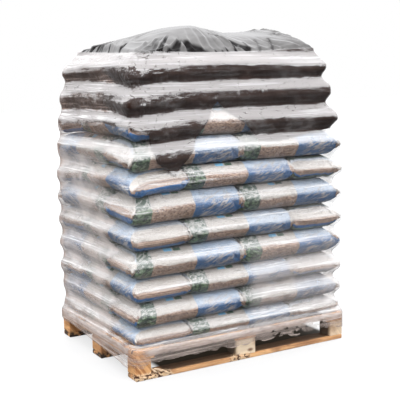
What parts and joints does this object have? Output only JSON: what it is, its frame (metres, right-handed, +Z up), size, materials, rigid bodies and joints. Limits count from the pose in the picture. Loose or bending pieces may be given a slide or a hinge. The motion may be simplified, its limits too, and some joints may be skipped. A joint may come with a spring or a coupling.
{
  "type": "pallet of sacks",
  "caption": "Wooden block pallet with bonded layers of filled plastic sacks, under a loose plastic top sheet and a clear stretch film.",
  "frame": {"origin": "on the floor, under the middle of the pallet", "axes": "+Z up, +X along the pallet's long side, -Y towards the front long side"},
  "size_m": [1.203, 0.903, 1.6286],
  "materials": {
    "wood": "rough-sawn softwood, orange-brown, dirty at the foot",
    "sack": "printed polyethylene film, semi-gloss",
    "top_sheet": "black polyethylene sheet, satin",
    "stretch_film": "clear stretch film, glossy"
  },
  "bodies": {
    "root": {"bottom_board_front": "wood", "bottom_board_middle": "wood", "bottom_board_back": "wood", "block_front_left": "wood", "block_front_middle": "wood", "block_front_right": "wood", "block_middle_left": "wood", "block_middle_middle": "wood", "block_middle_right": "wood", "block_back_left": "wood", "block_back_middle": "wood", "block_back_right": "wood", "stringer_board_left": "wood", "stringer_board_middle": "wood", "stringer_board_right": "wood", "deck_board_1": "wood", "deck_board_2": "wood", "deck_board_3": "wood", "deck_board_4": "wood", "deck_board_5": "wood", "deck_board_6": "wood", "sack_layer_01": "sack", "sack_layer_02": "sack", "sack_layer_03": "sack", "sack_layer_04": "sack", "sack_layer_05": "sack", "sack_layer_06": "sack", "sack_layer_07": "sack", "sack_layer_08": "sack", "sack_layer_09": "sack", "sack_layer_10": "sack", "sack_layer_11": "sack", "top_sheet": "top_sheet", "stretch_film": "stretch_film"}
  },
  "joints": []
}
